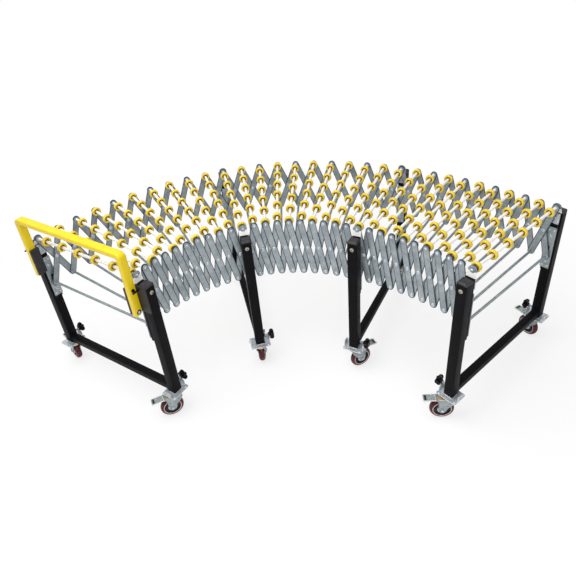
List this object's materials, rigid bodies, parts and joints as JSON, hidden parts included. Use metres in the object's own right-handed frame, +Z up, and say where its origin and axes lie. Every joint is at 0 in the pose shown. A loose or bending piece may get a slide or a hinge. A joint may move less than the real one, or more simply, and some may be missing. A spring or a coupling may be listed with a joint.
{
  "type": "flexible skate wheel conveyor",
  "caption": "Expandable gravity conveyor with a curved bed of skate wheels on scissor links, carried by height-adjustable legs on braked swivel casters, with a fold-down pull handle.",
  "frame": {"origin": "middle of the bounding box's bottom face, on the floor under the bed's curve", "axes": "+X towards the free end along the curve's chord, +Y towards the outside of the curve, +Z up"},
  "size_m": [2.8742, 1.3664, 1.0425],
  "materials": {
    "wheel_yellow": "smooth moulded plastic",
    "galvanised": "galvanised strip steel",
    "black_powder_coat": "satin powder coat",
    "handle_yellow": "gloss powder coat",
    "zinc": "bright zinc plate",
    "tread_red": "smooth polyurethane tread"
  },
  "bodies": {
    "station_00": {"leg_frame_1": "black_powder_coat"},
    "station_01": {"wheel_row_01": "wheel_yellow"},
    "station_02": {"wheel_row_02": "wheel_yellow"},
    "station_03": {"wheel_row_03": "wheel_yellow"},
    "station_04": {"wheel_row_04": "wheel_yellow"},
    "station_05": {"wheel_row_05": "wheel_yellow"},
    "station_06": {"wheel_row_06": "wheel_yellow"},
    "station_07": {"wheel_row_07": "wheel_yellow"},
    "station_08": {"wheel_row_08": "wheel_yellow"},
    "station_09": {"wheel_row_09": "wheel_yellow"},
    "station_10": {"wheel_row_10": "wheel_yellow", "leg_frame_2": "black_powder_coat"},
    "station_11": {"wheel_row_11": "wheel_yellow"},
    "station_12": {"wheel_row_12": "wheel_yellow"},
    "station_13": {"wheel_row_13": "wheel_yellow"},
    "station_14": {"wheel_row_14": "wheel_yellow"},
    "station_15": {"wheel_row_15": "wheel_yellow", "scissor_lattice": "galvanised"},
    "station_16": {"wheel_row_16": "wheel_yellow"},
    "station_17": {"wheel_row_17": "wheel_yellow"},
    "station_18": {"wheel_row_18": "wheel_yellow"},
    "station_19": {"wheel_row_19": "wheel_yellow"},
    "station_20": {"wheel_row_20": "wheel_yellow", "leg_frame_3": "black_powder_coat"},
    "station_21": {"wheel_row_21": "wheel_yellow"},
    "station_22": {"wheel_row_22": "wheel_yellow"},
    "station_23": {"wheel_row_23": "wheel_yellow"},
    "station_24": {"wheel_row_24": "wheel_yellow"},
    "station_25": {"wheel_row_25": "wheel_yellow"},
    "station_26": {"wheel_row_26": "wheel_yellow"},
    "station_27": {"wheel_row_27": "wheel_yellow"},
    "station_28": {"wheel_row_28": "wheel_yellow"},
    "station_29": {"wheel_row_29": "wheel_yellow"},
    "station_30": {"wheel_row_30": "wheel_yellow", "leg_frame_4": "black_powder_coat"},
    "post_near_1": {"leg_post_near_1": "zinc"},
    "fork_near_1": {"caster_fork_near_1": "zinc"},
    "wheel_near_1": {"caster_wheel_near_1": "tread_red"},
    "post_far_1": {"leg_post_far_1": "zinc"},
    "fork_far_1": {"caster_fork_far_1": "zinc"},
    "wheel_far_1": {"caster_wheel_far_1": "tread_red"},
    "post_near_2": {"leg_post_near_2": "zinc"},
    "fork_near_2": {"caster_fork_near_2": "zinc"},
    "wheel_near_2": {"caster_wheel_near_2": "tread_red"},
    "post_far_2": {"leg_post_far_2": "zinc"},
    "fork_far_2": {"caster_fork_far_2": "zinc"},
    "wheel_far_2": {"caster_wheel_far_2": "tread_red"},
    "post_near_3": {"leg_post_near_3": "zinc"},
    "fork_near_3": {"caster_fork_near_3": "zinc"},
    "wheel_near_3": {"caster_wheel_near_3": "tread_red"},
    "post_far_3": {"leg_post_far_3": "zinc"},
    "fork_far_3": {"caster_fork_far_3": "zinc"},
    "wheel_far_3": {"caster_wheel_far_3": "tread_red"},
    "post_near_4": {"leg_post_near_4": "zinc"},
    "fork_near_4": {"caster_fork_near_4": "zinc"},
    "wheel_near_4": {"caster_wheel_near_4": "tread_red"},
    "post_far_4": {"leg_post_far_4": "zinc"},
    "fork_far_4": {"caster_fork_far_4": "zinc"},
    "wheel_far_4": {"caster_wheel_far_4": "tread_red"},
    "handle": {"handle": "handle_yellow"}
  },
  "joints": [
    {"name": "stretch_14", "type": "hinge", "parent": "station_15", "child": "station_14", "pos_m": [0.07601, -0.88436, 0], "axis": [0, 0, 1], "range_deg": [-1.32, 1.32], "deforming": ["scissor_lattice"]},
    {"name": "stretch_16", "type": "hinge", "parent": "station_15", "child": "station_16", "pos_m": [0.07601, -0.90069, 0], "axis": [0, 0, -1], "range_deg": [-1.31, 1.31]},
    {"name": "stretch_17", "type": "hinge", "parent": "station_16", "child": "station_17", "pos_m": [0.07401, -0.92741, 0], "axis": [0, 0, -1], "range_deg": [-1.27, 1.27]},
    {"name": "stretch_18", "type": "hinge", "parent": "station_17", "child": "station_18", "pos_m": [0.06848, -0.9646, 0], "axis": [0, 0, -1], "range_deg": [-1.22, 1.22]},
    {"name": "stretch_19", "type": "hinge", "parent": "station_18", "child": "station_19", "pos_m": [0.05789, -1.01268, 0], "axis": [0, 0, -1], "range_deg": [-1.15, 1.15]},
    {"name": "stretch_20", "type": "hinge", "parent": "station_19", "child": "station_20", "pos_m": [0.04057, -1.07236, 0], "axis": [0, 0, -1], "range_deg": [-1.07, 1.07]},
    {"name": "stretch_21", "type": "hinge", "parent": "station_20", "child": "station_21", "pos_m": [0.01473, -1.14459, 0], "axis": [0, 0, -1], "range_deg": [-1, 1]},
    {"name": "stretch_22", "type": "hinge", "parent": "station_21", "child": "station_22", "pos_m": [-0.02159, -1.2304, 0], "axis": [0, 0, -1], "range_deg": [-0.91, 0.91]},
    {"name": "stretch_23", "type": "hinge", "parent": "station_22", "child": "station_23", "pos_m": [-0.07036, -1.33071, 0], "axis": [0, 0, -1], "range_deg": [-0.83, 0.83]},
    {"name": "stretch_24", "type": "hinge", "parent": "station_23", "child": "station_24", "pos_m": [-0.13326, -1.44585, 0], "axis": [0, 0, -1], "range_deg": [-0.75, 0.75]},
    {"name": "stretch_25", "type": "hinge", "parent": "station_24", "child": "station_25", "pos_m": [-0.21098, -1.57469, 0], "axis": [0, 0, -1], "range_deg": [-0.68, 0.68]},
    {"name": "stretch_26", "type": "hinge", "parent": "station_25", "child": "station_26", "pos_m": [-0.30207, -1.71325, 0], "axis": [0, 0, -1], "range_deg": [-0.61, 0.61]},
    {"name": "stretch_27", "type": "hinge", "parent": "station_26", "child": "station_27", "pos_m": [-0.40098, -1.85286, 0], "axis": [0, 0, -1], "range_deg": [-0.56, 0.56]},
    {"name": "stretch_28", "type": "hinge", "parent": "station_27", "child": "station_28", "pos_m": [-0.49608, -1.97847, 0], "axis": [0, 0, -1], "range_deg": [-0.51, 0.51]},
    {"name": "stretch_29", "type": "hinge", "parent": "station_28", "child": "station_29", "pos_m": [-0.56896, -2.0691, 0], "axis": [0, 0, -1], "range_deg": [-0.4842, 0.4842]},
    {"name": "stretch_30", "type": "hinge", "parent": "station_29", "child": "station_30", "pos_m": [-0.59775, -2.10294, 0], "axis": [0, 0, -1], "range_deg": [-0.4743, 0.4743]},
    {"name": "stretch_13", "type": "hinge", "parent": "station_14", "child": "station_13", "pos_m": [0.07558, -0.87876, 0], "axis": [0, 0, 1], "range_deg": [-1.35, 1.35]},
    {"name": "stretch_12", "type": "hinge", "parent": "station_13", "child": "station_12", "pos_m": [0.07558, -0.87876, 0], "axis": [0, 0, 1], "range_deg": [-1.35, 1.35]},
    {"name": "stretch_11", "type": "hinge", "parent": "station_12", "child": "station_11", "pos_m": [0.07558, -0.87876, 0], "axis": [0, 0, 1], "range_deg": [-1.35, 1.35]},
    {"name": "stretch_10", "type": "hinge", "parent": "station_11", "child": "station_10", "pos_m": [0.07558, -0.87876, 0], "axis": [0, 0, 1], "range_deg": [-1.35, 1.35]},
    {"name": "stretch_09", "type": "hinge", "parent": "station_10", "child": "station_09", "pos_m": [0.07558, -0.87876, 0], "axis": [0, 0, 1], "range_deg": [-1.35, 1.35]},
    {"name": "stretch_08", "type": "hinge", "parent": "station_09", "child": "station_08", "pos_m": [0.07558, -0.87876, 0], "axis": [0, 0, 1], "range_deg": [-1.35, 1.35]},
    {"name": "stretch_07", "type": "hinge", "parent": "station_08", "child": "station_07", "pos_m": [0.07558, -0.87876, 0], "axis": [0, 0, 1], "range_deg": [-1.35, 1.35]},
    {"name": "stretch_06", "type": "hinge", "parent": "station_07", "child": "station_06", "pos_m": [0.07558, -0.87876, 0], "axis": [0, 0, 1], "range_deg": [-1.35, 1.35]},
    {"name": "stretch_05", "type": "hinge", "parent": "station_06", "child": "station_05", "pos_m": [0.07558, -0.87876, 0], "axis": [0, 0, 1], "range_deg": [-1.35, 1.35]},
    {"name": "stretch_04", "type": "hinge", "parent": "station_05", "child": "station_04", "pos_m": [0.07558, -0.87876, 0], "axis": [0, 0, 1], "range_deg": [-1.35, 1.35]},
    {"name": "stretch_03", "type": "hinge", "parent": "station_04", "child": "station_03", "pos_m": [0.07558, -0.87876, 0], "axis": [0, 0, 1], "range_deg": [-1.35, 1.35]},
    {"name": "stretch_02", "type": "hinge", "parent": "station_03", "child": "station_02", "pos_m": [0.07558, -0.87876, 0], "axis": [0, 0, 1], "range_deg": [-1.35, 1.35]},
    {"name": "stretch_01", "type": "hinge", "parent": "station_02", "child": "station_01", "pos_m": [0.07558, -0.87876, 0], "axis": [0, 0, 1], "range_deg": [-1.35, 1.35]},
    {"name": "stretch_00", "type": "hinge", "parent": "station_01", "child": "station_00", "pos_m": [0.07558, -0.87876, 0], "axis": [0, 0, 1], "range_deg": [-1.35, 1.35]},
    {"name": "height_near_1", "type": "slide", "parent": "station_00", "child": "post_near_1", "axis": [0, 0, -1], "range_m": [0, 0.2]},
    {"name": "swivel_near_1", "type": "hinge", "parent": "post_near_1", "child": "fork_near_1", "pos_m": [-0.57208, -0.59402, 0], "axis": [0, 0, 1], "continuous": true},
    {"name": "roll_near_1", "type": "hinge", "parent": "fork_near_1", "child": "wheel_near_1", "pos_m": [-0.60286, -0.6127, 0.0613], "axis": [0.519, -0.8548, 0], "continuous": true},
    {"name": "height_far_1", "type": "slide", "parent": "station_00", "child": "post_far_1", "axis": [0, 0, -1], "range_m": [0, 0.2]},
    {"name": "swivel_far_1", "type": "hinge", "parent": "post_far_1", "child": "fork_far_1", "pos_m": [-1.31816, -0.26601, 0], "axis": [0, 0, 1], "continuous": true},
    {"name": "roll_far_1", "type": "hinge", "parent": "fork_far_1", "child": "wheel_far_1", "pos_m": [-1.34625, -0.24348, 0.0613], "axis": [-0.6257, -0.7801, 0], "continuous": true},
    {"name": "height_near_2", "type": "slide", "parent": "station_10", "child": "post_near_2", "axis": [0, 0, -1], "range_m": [0, 0.2]},
    {"name": "swivel_near_2", "type": "hinge", "parent": "post_near_2", "child": "fork_near_2", "pos_m": [-0.19022, -0.22309, 0], "axis": [0, 0, 1], "continuous": true},
    {"name": "roll_near_2", "type": "hinge", "parent": "fork_near_2", "child": "wheel_near_2", "pos_m": [-0.19528, -0.18745, 0.0613], "axis": [-0.9901, -0.1403, 0], "continuous": true},
    {"name": "height_far_2", "type": "slide", "parent": "station_10", "child": "post_far_2", "axis": [0, 0, -1], "range_m": [0, 0.2]},
    {"name": "swivel_far_2", "type": "hinge", "parent": "post_far_2", "child": "fork_far_2", "pos_m": [-0.49642, 0.5322, 0], "axis": [0, 0, 1], "continuous": true},
    {"name": "roll_far_2", "type": "hinge", "parent": "fork_far_2", "child": "wheel_far_2", "pos_m": [-0.49145, 0.56786, 0.0613], "axis": [-0.9904, 0.138, 0], "continuous": true},
    {"name": "height_near_3", "type": "slide", "parent": "station_20", "child": "post_near_3", "axis": [0, 0, -1], "range_m": [0, 0.2]},
    {"name": "swivel_near_3", "type": "hinge", "parent": "post_near_3", "child": "fork_near_3", "pos_m": [0.34556, -0.22007, 0], "axis": [0, 0, 1], "continuous": true},
    {"name": "roll_near_3", "type": "hinge", "parent": "fork_near_3", "child": "wheel_near_3", "pos_m": [0.3753, -0.19978, 0.0613], "axis": [-0.5637, 0.826, 0], "continuous": true},
    {"name": "height_far_3", "type": "slide", "parent": "station_20", "child": "post_far_3", "axis": [0, 0, -1], "range_m": [0, 0.2]},
    {"name": "swivel_far_3", "type": "hinge", "parent": "post_far_3", "child": "fork_far_3", "pos_m": [0.62016, 0.54727, 0], "axis": [0, 0, 1], "continuous": true},
    {"name": "roll_far_3", "type": "hinge", "parent": "fork_far_3", "child": "wheel_far_3", "pos_m": [0.61371, 0.58269, 0.0613], "axis": [-0.9839, -0.179, 0], "continuous": true},
    {"name": "height_near_4", "type": "slide", "parent": "station_30", "child": "post_near_4", "axis": [0, 0, -1], "range_m": [0, 0.2]},
    {"name": "swivel_near_4", "type": "hinge", "parent": "post_near_4", "child": "fork_near_4", "pos_m": [0.82142, -0.52331, 0], "axis": [0, 0, 1], "continuous": true},
    {"name": "roll_near_4", "type": "hinge", "parent": "fork_near_4", "child": "wheel_near_4", "pos_m": [0.78551, -0.52586, 0.0613], "axis": [0.0708, -0.9975, 0], "continuous": true},
    {"name": "height_far_4", "type": "slide", "parent": "station_30", "child": "post_far_4", "axis": [0, 0, -1], "range_m": [0, 0.2]},
    {"name": "swivel_far_4", "type": "hinge", "parent": "post_far_4", "child": "fork_far_4", "pos_m": [1.3661, 0.08295, 0], "axis": [0, 0, 1], "continuous": true},
    {"name": "roll_far_4", "type": "hinge", "parent": "fork_far_4", "child": "wheel_far_4", "pos_m": [1.34491, 0.11205, 0.0613], "axis": [-0.8084, -0.5887, 0], "continuous": true},
    {"name": "handle_fold", "type": "hinge", "parent": "station_00", "child": "handle", "pos_m": [-0.96605, -0.47761, 0.717], "axis": [0.9154, -0.4025, 0], "range_deg": [0, 90]}
  ],
  "couplings": [
    {"joint": "stretch_16", "follows": "stretch_14", "ratio": 0.97924},
    {"joint": "stretch_17", "follows": "stretch_14", "ratio": 0.94698},
    {"joint": "stretch_18", "follows": "stretch_14", "ratio": 0.90514},
    {"joint": "stretch_19", "follows": "stretch_14", "ratio": 0.85564},
    {"joint": "stretch_20", "follows": "stretch_14", "ratio": 0.80039},
    {"joint": "stretch_21", "follows": "stretch_14", "ratio": 0.7413},
    {"joint": "stretch_22", "follows": "stretch_14", "ratio": 0.6803},
    {"joint": "stretch_23", "follows": "stretch_14", "ratio": 0.6193},
    {"joint": "stretch_24", "follows": "stretch_14", "ratio": 0.56021},
    {"joint": "stretch_25", "follows": "stretch_14", "ratio": 0.50496},
    {"joint": "stretch_26", "follows": "stretch_14", "ratio": 0.45546},
    {"joint": "stretch_27", "follows": "stretch_14", "ratio": 0.41362},
    {"joint": "stretch_28", "follows": "stretch_14", "ratio": 0.38136},
    {"joint": "stretch_29", "follows": "stretch_14", "ratio": 0.3606},
    {"joint": "stretch_30", "follows": "stretch_14", "ratio": 0.35325},
    {"joint": "stretch_13", "follows": "stretch_14", "ratio": 1.0073},
    {"joint": "stretch_12", "follows": "stretch_14", "ratio": 1.0073},
    {"joint": "stretch_11", "follows": "stretch_14", "ratio": 1.0073},
    {"joint": "stretch_10", "follows": "stretch_14", "ratio": 1.0073},
    {"joint": "stretch_09", "follows": "stretch_14", "ratio": 1.0073},
    {"joint": "stretch_08", "follows": "stretch_14", "ratio": 1.0073},
    {"joint": "stretch_07", "follows": "stretch_14", "ratio": 1.0073},
    {"joint": "stretch_06", "follows": "stretch_14", "ratio": 1.0073},
    {"joint": "stretch_05", "follows": "stretch_14", "ratio": 1.0073},
    {"joint": "stretch_04", "follows": "stretch_14", "ratio": 1.0073},
    {"joint": "stretch_03", "follows": "stretch_14", "ratio": 1.0073},
    {"joint": "stretch_02", "follows": "stretch_14", "ratio": 1.0073},
    {"joint": "stretch_01", "follows": "stretch_14", "ratio": 1.0073},
    {"joint": "stretch_00", "follows": "stretch_14", "ratio": 1.0073}
  ]
}
